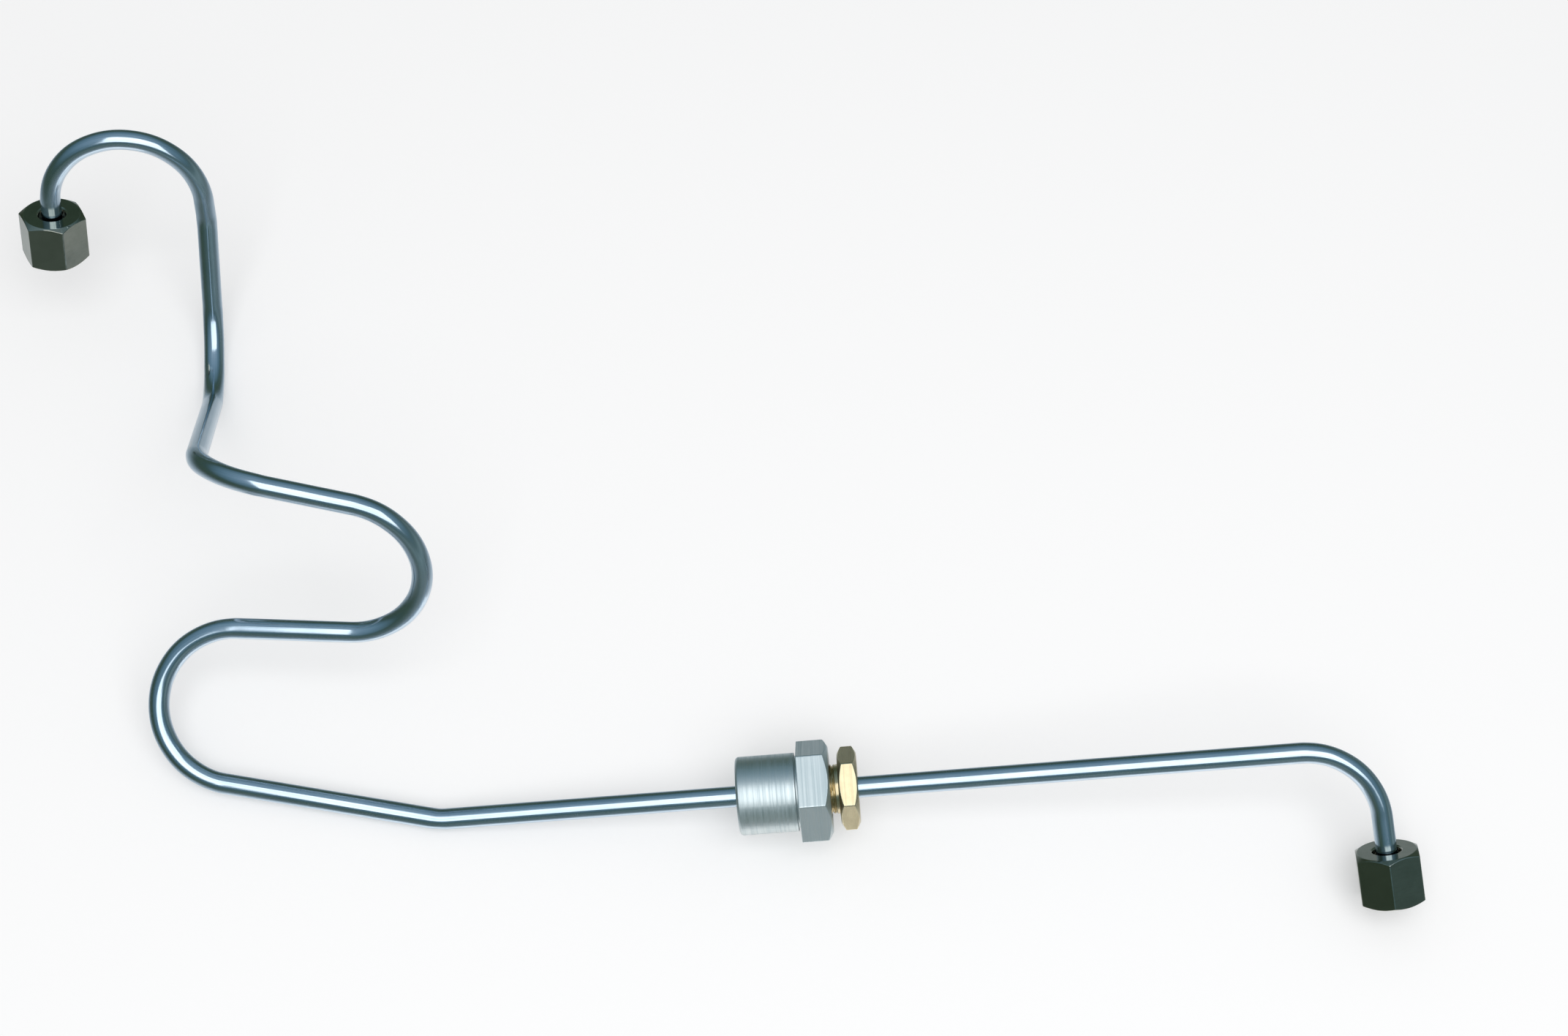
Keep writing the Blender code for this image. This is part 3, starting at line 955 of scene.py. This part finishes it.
@dataclass(frozen=True)
class Tube:
    """The bent pipe with a formed head at each end and a bore right through."""

    diameter: float = 6.0 * MM
    bore: float = 2.0 * MM
    head_diameter: float = 9.0 * MM
    head_land: float = 0.8 * MM
    nose_diameter: float = 4.2 * MM
    nose_half_angle: float = 30.0
    mouth_chamfer: float = 0.3 * MM
    head_ease: float = 0.25 * MM
    flattening: float = 0.022                # of the section in a bend, as a share of the radius
    waviness: float = 0.012 * MM             # of the drawn and bent skin
    straight_share: float = 0.4              # of the waviness, that straight runs have
    waves: tuple[float, float] = (1.9, 5.3)              # millimetres of pipe to a radian of each
    twists: tuple[float, float] = (2.0, 3.0)             # radians that each shifts round the pipe
    calm_ends: tuple[float, float] = (20.0, 30.0)        # millimetres over which they set in
    columns: int = 48
    run_step: float = 1.5 * MM
    bend_step: float = 2.0
    bore_run_step: float = 12.0 * MM
    bore_bend_step: float = 9.0

    def land_start(self) -> float:
        """Distance from the nose's tip to the front of the head's land."""
        slope = math.tan(math.radians(self.nose_half_angle))
        return (self.head_diameter - self.nose_diameter) / 2 / slope

    def land_end(self) -> float:
        """Distance from the nose's tip to the back of the head's land."""
        return self.land_start() + self.head_land

    def head_length(self) -> float:
        """Distance from the nose's tip to where the pipe has its own diameter."""
        return self.land_end() + (self.head_diameter - self.diameter) / 2

    def head(self) -> tuple[Array, Array]:
        """Outline of a head from its bore to the pipe's skin.

        Returns:
            Distances from the tip and radii, both of shape (point,).
        """
        radius = self.diameter / 2
        corners = np.array([
            (4 * self.mouth_chamfer, self.bore / 2),
            (self.mouth_chamfer, self.bore / 2),
            (0.0, self.bore / 2 + self.mouth_chamfer),
            (0.0, self.nose_diameter / 2),
            (self.land_start(), self.head_diameter / 2),
            (self.land_end(), self.head_diameter / 2),
            (self.head_length(), radius),
            (self.head_length() + 2 * self.head_land, radius),
        ])
        ease = np.full(len(corners), self.head_ease)
        points = rounded(corners[:, None], ease)[ROWS_PER_CORNER:-ROWS_PER_CORNER, 0]
        return points[:, 0], points[:, 1]

    def surface(self, route: Route) -> Surface:
        """Carries the section along the route, out on the skin and back through the bore.

        The skin's radius is R (1 - f b cos 2(a - p)), where a is the angle round the pipe, p the
        bend's inner side, b whether the pipe is bent there and f the flattening. A slow wave of
        the distance and the angle adds the unevenness of a bent pipe.

        Args:
            route: the pipe's centreline.

        Returns:
            The closed surface in the route's own frame.
        """
        ring = Ring.circle(self.columns)
        angle = math.tau * np.arange(self.columns) / self.columns
        depth, width = self.head()
        ends = depth.max()
        skin = route.stations(self.run_step, self.bend_step, ends + self.head_land)
        inner = route.stations(self.bore_run_step, self.bore_bend_step, ends + self.head_land)
        tip = route.injector_tip()
        total = route.starts()[-1][2] + route.last_run

        oval = self.flattening * skin.bent[:, None] * np.cos(2 * (angle[None] - skin.plane[:, None]))
        travelled = skin.distance[:, None] / MM
        wave = np.sin(travelled / self.waves[0] + self.twists[0] * np.sin(angle))
        wave = wave + np.sin(travelled / self.waves[1] + self.twists[1] * np.cos(angle))
        wave = wave * np.clip((travelled - ends / MM) / self.calm_ends[0], 0, 1)
        wave = wave * np.clip((total / MM - travelled) / self.calm_ends[1], 0, 1)
        wave = wave * (self.straight_share + skin.bent[:, None])
        skin_radius = self.diameter / 2 * (1 - oval) + self.waviness * wave

        frames = np.concatenate([
            shift(depth), skin.frames, (tip @ shift(-depth))[::-1], inner.frames[::-1],
        ])
        radius = np.concatenate([
            np.repeat(width[:, None], self.columns, axis=1),
            skin_radius,
            np.repeat(width[::-1, None], self.columns, axis=1),
            np.full((len(inner.distance), self.columns), self.bore / 2),
        ])
        along = np.concatenate([depth, skin.distance, (total - depth)[::-1], total + inner.distance])
        plane = np.zeros((len(radius), self.columns, 4))
        plane[:, :, :2] = radius[:, :, None] * ring.direction[None]
        plane[:, :, 3] = 1.0
        points = np.einsum("nij,ncj->nci", frames, plane)[:, :, :3]
        turn = np.zeros_like(points)
        turn[:, :, :2] = ring.direction[None]
        turn[:, :, 2] = along[:, None] / MM
        return Surface(points, turn, np.zeros(radius.shape))


@dataclass(frozen=True)
class Hexagon:
    """Hexagon whose corners are turned off in a cone at one end or both."""

    flats: float
    corner_circle: float = 0.95              # of the end face, as a share of the width across flats
    corner_angle: float = 30.0
    side_ease: float = 0.25 * MM             # of the corners between the flats
    end_ease: float = 0.15 * MM              # of the corners at the end faces and the cones

    def ring(self) -> Ring:
        """Plan of the hexagon."""
        return Ring.hexagon(self.flats, self.side_ease)

    def face_radius(self) -> float:
        """Radius of the end face inside the cone."""
        return self.flats / 2 * self.corner_circle

    def cone_depth(self, ring: Ring) -> Array:
        """Depth of the cone below the end face, for each column of the plan."""
        return (ring.reach - self.face_radius()) * math.tan(math.radians(self.corner_angle))

    def end(self, ring: Ring, height: float, inwards: float) -> list[Corner]:
        """Corners of an end whose edges are turned off.

        Args:
            ring: plan of the hexagon.
            height: height of the end face.
            inwards: 1 where the piece is above the end face, and -1 where it is below.

        Returns:
            The corner on the end face and the one on the flats.
        """
        edge = height + inwards * self.cone_depth(ring)
        return [
            Corner(self.face_radius(), height, self.end_ease),
            Corner(ring.reach, edge, self.end_ease, on_plan=True),
        ]


@dataclass(frozen=True)
class UnionEnd:
    """Union nut and thrust collar of one end of the pipe.

    Attributes:
        end: name of the end.
        clock: turn of the nut about the pipe, in degrees.
    """

    end: str
    clock: float
    hexagon: Hexagon = Hexagon(17.5 * MM)
    length: float = 15.2 * MM
    wall: float = 2.8 * MM
    hole: float = 8.0 * MM
    hole_chamfer: float = 0.4 * MM
    thread: float = 14.0 * MM
    thread_depth: float = 0.8 * MM
    pitch: float = 1.5 * MM
    thread_lead: float = 0.3 * MM            # from the mouth's chamfer to the thread
    root_gap: float = 0.05 * MM              # of the thread's roots from its full diameter
    collar_length: float = 3.2 * MM
    collar_chamfer: float = 0.5 * MM
    seat_gap: float = 0.3 * MM
    running_gap: float = 0.25 * MM

    def bore(self) -> float:
        """Radius at the crests of the nut's thread."""
        return self.thread / 2 - self.thread_depth

    def collar_front(self, tube: Tube) -> float:
        """Distance from the nose's tip to the collar's front face."""
        return tube.land_end() + self.seat_gap * (math.sqrt(2) - 1)

    def mouth(self, tube: Tube) -> float:
        """Distance from the nose's tip to the nut's open end, negative outside the pipe."""
        return self.collar_front(tube) + self.collar_length + self.seat_gap + self.wall - self.length

    def collar(self, tube: Tube) -> Surface:
        """The thrust collar, with a conical seat for the head's shoulder.

        Args:
            tube: the pipe that it sits on.

        Returns:
            The surface, from its front face.
        """
        bore = tube.diameter / 2 + self.running_gap
        front = tube.head_diameter / 2 + self.seat_gap
        outer = self.bore() - self.running_gap
        return turned(Ring.circle(ROUND_COLUMNS), [
            Corner(front, 0.0),
            Corner(outer - self.collar_chamfer, 0.0),
            Corner(outer, self.collar_chamfer),
            Corner(outer, self.collar_length - self.collar_chamfer),
            Corner(outer - self.collar_chamfer, self.collar_length),
            Corner(bore, self.collar_length),
            Corner(bore, front - bore),
        ])

    def nut(self) -> Surface:
        """The union nut: a hexagon with a threaded bore and a hole in its closed end.

        Returns:
            The surface, from its open end.
        """
        ring = self.hexagon.ring()
        floor = self.length - self.wall
        outline = [
            *self.hexagon.end(ring, 0.0, 1.0),
            *self.hexagon.end(ring, self.length, -1.0)[::-1],
            Corner(self.hole / 2 + self.hole_chamfer, self.length),
            Corner(self.hole / 2, self.length - self.hole_chamfer),
            Corner(self.hole / 2, floor),
            Corner(self.bore(), floor),
            Corner(self.bore(), self.thread_depth),
            Corner(self.thread / 2, 0.0),
        ]
        thread = Marks(
            after=7, start=floor - self.collar_length, end=self.thread_depth + self.thread_lead,
            pitch=self.pitch, depth=self.thread_depth - self.root_gap,
        )
        return turned(ring, outline, (thread,))

    def build(self, shop: Workshop, tube: Tube, tip: Matrix4) -> None:
        """Makes the collar and the nut.

        Args:
            shop: maker of the pieces.
            tube: the pipe that they sit on.
            tip: frame at the nose's tip, with +Z into the pipe.
        """
        end = self.end
        collar = self.collar(tube).moved(tip @ shift(self.collar_front(tube)))
        shop.piece(f"{end}_end_collar", collar, PLAIN_STEEL, f"{end}_collar", f"{end}_thrust_collar")
        nut = self.nut().moved(tip @ shift(self.mouth(tube)) @ clock(self.clock))
        shop.piece(f"{end}_end_nut", nut, DARK_PLATE, f"{end}_nut", f"{end}_union_nut")


@dataclass(frozen=True)
class Gland:
    """Gland that seals the pipe in the engine's cover."""

    station: float = 100.0 * MM              # along the long run, to the hexagon's seating face
    clock: float = 46.0
    hexagon: Hexagon = Hexagon(25.4 * MM)
    hexagon_length: float = 9.0 * MM
    shank: float = 22.2 * MM
    shank_length: float = 17.4 * MM
    shank_chamfer: float = 0.6 * MM
    relief_width: float = 0.7 * MM
    relief_depth: float = 0.9 * MM
    relief_undercut: float = 0.2 * MM
    chamber_depth: float = 16.0 * MM
    chamber_chamfer: float = 0.5 * MM
    outer_ease: float = 0.2 * MM             # of the shank's and the seat's outer corners
    relief_ease: float = 0.05 * MM           # of the corners at the relief's mouth
    tool_mark: float = 0.012 * MM            # depth of the lathe's rings on the shank
    tool_pitch: float = 1.4 * MM
    tool_start: float = 1.2 * MM             # from the shank's end to the first ring
    tool_stop: float = 0.4 * MM              # from the last ring to the relief
    bore_chamfer: float = 0.3 * MM           # at the nut's face
    nut_clock: float = 53.0
    nut_hexagon: Hexagon = Hexagon(20.6 * MM)
    nut_length: float = 5.5 * MM
    nut_shank: float = 14.0 * MM
    nut_pitch: float = 1.0 * MM
    nut_thread_depth: float = 0.5 * MM
    nut_tip_chamfer: float = 0.5 * MM
    nut_thread_lead: float = 0.5 * MM        # from the chamfer to the thread, and on to the hexagon
    stand_off: float = 2.4 * MM              # of the nut's hexagon from the body's
    packing_length: float = 7.0 * MM
    packing_ease: float = 0.4 * MM
    washer_thickness: float = 1.5 * MM
    washer_ease: float = 0.15 * MM
    seat_gap: float = 0.3 * MM
    thread_gap: float = 0.3 * MM

    def length(self) -> float:
        """Length of the gland's body."""
        return self.shank_length + self.hexagon_length

    def chamber(self) -> float:
        """Radius of the chamber that the nut screws into."""
        return self.nut_shank / 2 + self.thread_gap

    def body(self, bore: float) -> Surface:
        """The body: a turned shank, a relief groove, a hexagon and the chamber in it.

        Args:
            bore: radius of the hole for the pipe.

        Returns:
            The surface, from the end of its shank.
        """
        ring = self.hexagon.ring()
        shank, seat, end = self.shank / 2, self.shank_length, self.length()
        groove, chamber = seat - self.relief_width, self.chamber()
        outline = [
            Corner(shank - self.shank_chamfer, 0.0, self.outer_ease),
            Corner(shank, self.shank_chamfer, self.outer_ease),
            Corner(shank, groove),
            Corner(shank - self.relief_depth, groove),
            Corner(shank - self.relief_depth, seat + self.relief_undercut),
            Corner(shank, seat + self.relief_undercut, self.relief_ease),
            Corner(shank + self.relief_undercut, seat, self.relief_ease),
            Corner(ring.reach, seat, self.outer_ease, on_plan=True),
            *self.hexagon.end(ring, end, -1.0)[::-1],
            Corner(chamber + self.chamber_chamfer, end),
            Corner(chamber, end - self.chamber_chamfer),
            Corner(chamber, end - self.chamber_depth),
            Corner(bore, end - self.chamber_depth),
            Corner(bore, 0.0),
        ]
        rings = Marks(
            after=1, start=self.tool_start, end=groove - self.tool_stop,
            pitch=self.tool_pitch, depth=-self.tool_mark, helical=False, uneven=0.35, rows_per_pitch=14,
        )
        thread = Marks(
            after=11, start=end - 2 * self.chamber_chamfer, end=end - self.chamber_depth / 2,
            pitch=self.nut_pitch, depth=self.nut_thread_depth,
        )
        return turned(ring, outline, (rings, thread))

    def nut(self, shank_length: float, bore: float) -> Surface:
        """The nut: a threaded shank and a hexagon with its corners turned off at both ends.

        Args:
            shank_length: length of its shank.
            bore: radius of the hole for the pipe.

        Returns:
            The surface, from the tip of its shank.
        """
        ring = self.nut_hexagon.ring()
        shank, end = self.nut_shank / 2, shank_length + self.nut_length
        outline = [
            Corner(shank - self.nut_tip_chamfer, 0.0),
            Corner(shank, self.nut_tip_chamfer),
            Corner(shank, shank_length),
            *self.nut_hexagon.end(ring, shank_length, 1.0),
            *self.nut_hexagon.end(ring, end, -1.0)[::-1],
            Corner(bore + self.bore_chamfer, end),
            Corner(bore, end - self.bore_chamfer),
            Corner(bore, 0.0),
        ]
        thread = Marks(
            after=1, start=self.nut_tip_chamfer + self.nut_thread_lead,
            end=shank_length - self.nut_thread_lead, pitch=self.nut_pitch, depth=-self.nut_thread_depth,
        )
        return turned(ring, outline, (thread,))

    def spacer(self, length: float, bore: float, ease: float) -> Surface:
        """A plain ring in the chamber, such as the packing or the washer.

        Args:
            length: its length.
            bore: radius of the hole for the pipe.
            ease: how far its rounds reach.

        Returns:
            The surface, from its lower face.
        """
        outer = self.chamber() - self.seat_gap
        corners = [(bore, 0.0), (outer, 0.0), (outer, length), (bore, length)]
        outline = [Corner(radius, height, ease) for radius, height in corners]
        return turned(Ring.circle(ROUND_COLUMNS), outline)

    def build(self, shop: Workshop, tube: Tube, run: Matrix4) -> None:
        """Makes the body, the packing, the washer and the nut.

        Args:
            shop: maker of the pieces.
            tube: the pipe that they sit on.
            run: frame at the start of the long run.
        """
        bore = tube.diameter / 2 + self.seat_gap
        start = run @ shift(self.station - self.shank_length)
        packing = self.length() - self.chamber_depth + self.seat_gap
        washer = packing + self.packing_length + self.seat_gap
        nut = washer + self.washer_thickness + self.seat_gap
        shank_length = self.length() + self.stand_off - nut
        rider = "pipe_and_gland"
        body = self.body(bore).moved(start @ clock(self.clock))
        shop.piece("gland_plug", body, SATIN_STEEL, rider, "gland_body")
        seal = self.spacer(self.packing_length, bore, self.packing_ease).moved(start @ shift(packing))
        shop.piece("gland_seal", seal, BLACK_RUBBER, rider, "gland_packing")
        plate = self.spacer(self.washer_thickness, bore, self.washer_ease).moved(start @ shift(washer))
        shop.piece("gland_pressure_washer", plate, PLAIN_STEEL, rider, "gland_washer")
        clamp = self.nut(shank_length, bore).moved(start @ shift(nut) @ clock(self.nut_clock))
        shop.piece("gland_clamp_nut", clamp, BRIGHT_BRASS, rider, "gland_nut")


# Studio


@dataclass(frozen=True)
class Softbox:
    """Flat soft lamp that faces the object.

    Attributes:
        name: name of the lamp.
        place: its centre.
        target: point that it faces.
        size: width and height.
        brightness: radiance of its face, where 1 is white.
    """

    name: str
    place: tuple[float, float, float]
    target: tuple[float, float, float]
    size: tuple[float, float]
    brightness: float

    def build(self) -> None:
        """Adds the lamp; its power is pi times its radiance and its area."""
        lamp = bpy.data.lights.new(self.name, "AREA")
        lamp.shape = "RECTANGLE"
        lamp.size, lamp.size_y = self.size
        lamp.energy = math.pi * self.brightness * self.size[0] * self.size[1]
        aim = np.array(self.target) - np.array(self.place)
        back = -aim / np.linalg.norm(aim)
        side = np.cross([0.0, 1.0, 0.0], back)
        side = side / np.linalg.norm(side)
        turn = np.eye(4)
        turn[:3, :3] = np.stack([side, np.cross(back, side), back], axis=1)
        turn[:3, 3] = self.place
        placed(self.name, lamp).matrix_world = Matrix(turn.tolist())


@dataclass(frozen=True)
class Studio:
    """Pale floor, white surroundings, dark cards for the reflections, one soft lamp, the camera."""

    camera_place: tuple[float, float, float] = (-0.02781, -0.30948, 0.66455)
    camera_turn: tuple[float, float, float] = (26.256, -3.073, -3.313)
    lens: float = 55.63                      # focal length in millimetres
    sensor: float = 36.0                     # width of the camera's sensor in millimetres
    floor_half: float = 12.0
    floor_drop: float = 0.2 * MM
    floor_color: Color = (0.84, 0.845, 0.85)
    floor_lift: float = 0.29                 # light that the floor and its reflections gain
    polish_color: Color = (0.9, 0.9, 0.9)
    polish_roughness: float = 0.1
    polish_blend: float = 0.75               # how soon the floor turns polished as a view flattens
    fill: float = 0.45                       # strength at which the surroundings light the object
    tent_radius: float = 4.0
    tent_rows: int = 40
    tent_columns: int = 96
    tent_top: float = 89.9                   # elevation of the last row, in degrees
    tent_bands: tuple[tuple[float, Color], ...] = (
        (0.00, (0.060, 0.095, 0.065)),
        (0.25, (0.060, 0.100, 0.085)),
        (0.40, (0.100, 0.170, 0.190)),
        (0.60, (0.145, 0.240, 0.295)),
        (0.85, (0.240, 0.350, 0.430)),
        (1.00, (0.340, 0.440, 0.520)),
    )
    glow_side: tuple[float, float, float] = (0.819, -0.574, 0.0)
    glow_color: Color = (0.15, 0.19, 0.22)
    glow_start: float = -0.3                 # cosine of the angle from the glow's side
    glow_height: float = 0.42                # as a share of the dome's radius
    softbox: Softbox = Softbox(
        name="overhead_softbox", place=(0.10, -0.54, 1.19), target=(0.0, 0.0, 0.0),
        size=(1.4, 1.32), brightness=1.5,
    )

    def build(self) -> None:
        """Makes everything round the object."""
        scene = bpy.context.scene
        scene.view_settings.view_transform = "Standard"
        self.camera()
        self.world()
        self.floor()
        self.tent()
        self.softbox.build()

    def camera(self) -> None:
        """Adds the camera where the photograph was taken from."""
        data = bpy.data.cameras.new("camera")
        data.sensor_fit = "HORIZONTAL"
        data.sensor_width = self.sensor
        data.lens = self.lens
        item = placed("camera", data)
        item.location = self.camera_place
        item.rotation_euler = [math.radians(angle) for angle in self.camera_turn]
        bpy.context.scene.camera = item

    @staticmethod
    def seen(graph: Graph) -> bpy.types.NodeSocket:
        """Tells what is seen from what only lights the object.

        Args:
            graph: nodes of the material or the world.

        Returns:
            A socket: 1 for what the camera sees straight, in a reflection or through glass.
        """
        path = graph.add("ShaderNodeLightPath").outputs
        seen = graph.math("ADD", path["Is Camera Ray"], path["Is Glossy Ray"])
        return graph.math("MINIMUM", graph.math("ADD", seen, path["Is Transmission Ray"]), 1.0)

    @staticmethod
    def bare_material(mesh: bpy.types.Mesh, name: str) -> tuple[Graph, bpy.types.NodeSocket]:
        """Gives a mesh a material with nothing in it yet.

        Args:
            mesh: mesh of the floor or a backdrop.
            name: name of the material.

        Returns:
            The material's graph, and the socket that its shader goes to.
        """
        material = bpy.data.materials.new(name)
        material.use_nodes = True
        tree = material.node_tree
        tree.nodes.remove(tree.nodes["Principled BSDF"])
        mesh.materials.append(material)
        return Graph(tree), tree.nodes["Material Output"].inputs["Surface"]

    def world(self) -> None:
        """White surroundings that light the object at the fill's level."""
        world = bpy.data.worlds.new("surroundings")
        bpy.context.scene.world = world
        world.use_nodes = True
        graph = Graph(world.node_tree)
        strength = graph.stretch(self.seen(graph), 0.0, 1.0, self.fill)
        background = world.node_tree.nodes["Background"]
        background.inputs["Color"].default_value = (1.0, 1.0, 1.0, 1.0)
        world.node_tree.links.new(strength, background.inputs["Strength"])

    def floor(self) -> None:
        """Pale floor, which in the object's reflections is polished at shallow angles."""
        half, low = self.floor_half, -self.floor_drop
        mesh = bpy.data.meshes.new("floor")
        corners = [(-half, -half, low), (half, -half, low), (half, half, low), (-half, half, low)]
        mesh.from_pydata(corners, [], [(0, 1, 2, 3)])
        item = placed("floor", mesh)

        graph, surface = self.bare_material(mesh, "pale_floor")
        matt = graph.add("ShaderNodeBsdfDiffuse", {"Color": (*self.floor_color, 1.0)})
        strength = graph.math("MULTIPLY", self.seen(graph), self.floor_lift)
        lift = graph.add("ShaderNodeEmission", {"Strength": strength})
        pale = graph.add("ShaderNodeAddShader", {0: matt.outputs[0], 1: lift.outputs[0]})
        gloss = {"Color": (*self.polish_color, 1.0), "Roughness": self.polish_roughness}
        polish = graph.add("ShaderNodeBsdfGlossy", gloss)
        facing = graph.add("ShaderNodeLayerWeight", {"Blend": self.polish_blend}).outputs["Facing"]
        glossy = graph.add("ShaderNodeLightPath").outputs["Is Glossy Ray"]
        share = graph.math("MULTIPLY", facing, glossy)
        mixed = graph.add("ShaderNodeMixShader", {0: share, 1: pale.outputs[0], 2: polish.outputs[0]})
        graph.tree.links.new(mixed.outputs[0], surface)

    def tent(self) -> None:
        """Dark cards round the set, which only show in reflections.

        They are a dome of radius R: a point at elevation e and azimuth a is
        (R cos e cos a, R cos e sin a, R sin e).
        """
        rows, columns = self.tent_rows, self.tent_columns
        rise = np.radians(np.linspace(0.0, self.tent_top, rows))[:, None]
        azimuth = (math.tau * np.arange(columns) / columns)[None]
        level = np.cos(rise)
        points = self.tent_radius * np.stack(
            [level * np.cos(azimuth), level * np.sin(azimuth), np.sin(rise) + 0.0 * azimuth], axis=2
        )
        index = np.arange(rows * columns).reshape(rows, columns)
        ahead = np.roll(index, -1, axis=1)
        faces = np.stack([index[:-1], ahead[:-1], ahead[1:], index[1:]], axis=2).reshape(-1, 4)
        mesh = bpy.data.meshes.new("dark_cards")
        mesh.from_pydata(points.reshape(-1, 3).tolist(), [], faces.tolist())
        mesh.shade_smooth()
        item = placed("dark_cards", mesh)
        item.visible_camera = False
        item.visible_diffuse = False
        item.visible_shadow = False
        item.visible_transmission = False

        graph, surface = self.bare_material(mesh, "dark_cards")
        place = graph.add("ShaderNodeTexCoord").outputs["Object"]
        height = graph.add("ShaderNodeSeparateXYZ", {0: place}).outputs["Z"]
        share = graph.math("DIVIDE", height, self.tent_radius)
        ramp = graph.add("ShaderNodeValToRGB", {"Fac": share})
        stops = ramp.color_ramp.elements
        while len(stops) < len(self.tent_bands):
            stops.new(1.0)
        for stop, (position, color) in zip(stops, self.tent_bands):
            stop.position = position
            stop.color = (*color, 1.0)
        lean = graph.add("ShaderNodeVectorMath", {0: place, 1: self.glow_side}, operation="DOT_PRODUCT")
        lean = graph.math("DIVIDE", lean.outputs["Value"], self.tent_radius)
        sideways = graph.stretch(lean, self.glow_start, 1.0, smooth=True)
        low_down = graph.stretch(share, 0.0, self.glow_height, 1.0, 0.0, smooth=True)
        patch = graph.math("MULTIPLY", sideways, low_down)
        lit = graph.blend(patch, ramp.outputs["Color"], (*self.glow_color, 1.0), "ADD")
        glow = graph.add("ShaderNodeEmission", {"Color": lit, "Strength": 1.0})
        graph.tree.links.new(glow.outputs[0], surface)


def main() -> None:
    """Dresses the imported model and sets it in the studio."""
    logging.basicConfig(level=logging.INFO, format="%(message)s")
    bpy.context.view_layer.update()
    shop = Workshop()
    route = Route()
    settled = route.settled(frame["joints"])

    tube = Tube()
    shop.piece("bent_tube", tube.surface(route).moved(settled), BRIGHT_ZINC, "pipe_and_gland", "pipe")
    UnionEnd("pump", 53.0).build(shop, tube, settled)
    UnionEnd("injector", 5.0).build(shop, tube, settled @ route.injector_tip() @ FLIPPED)
    Gland().build(shop, tube, settled @ route.starts()[route.long_run][0])
    Studio().build()


if __name__ == "__main__":
    main()
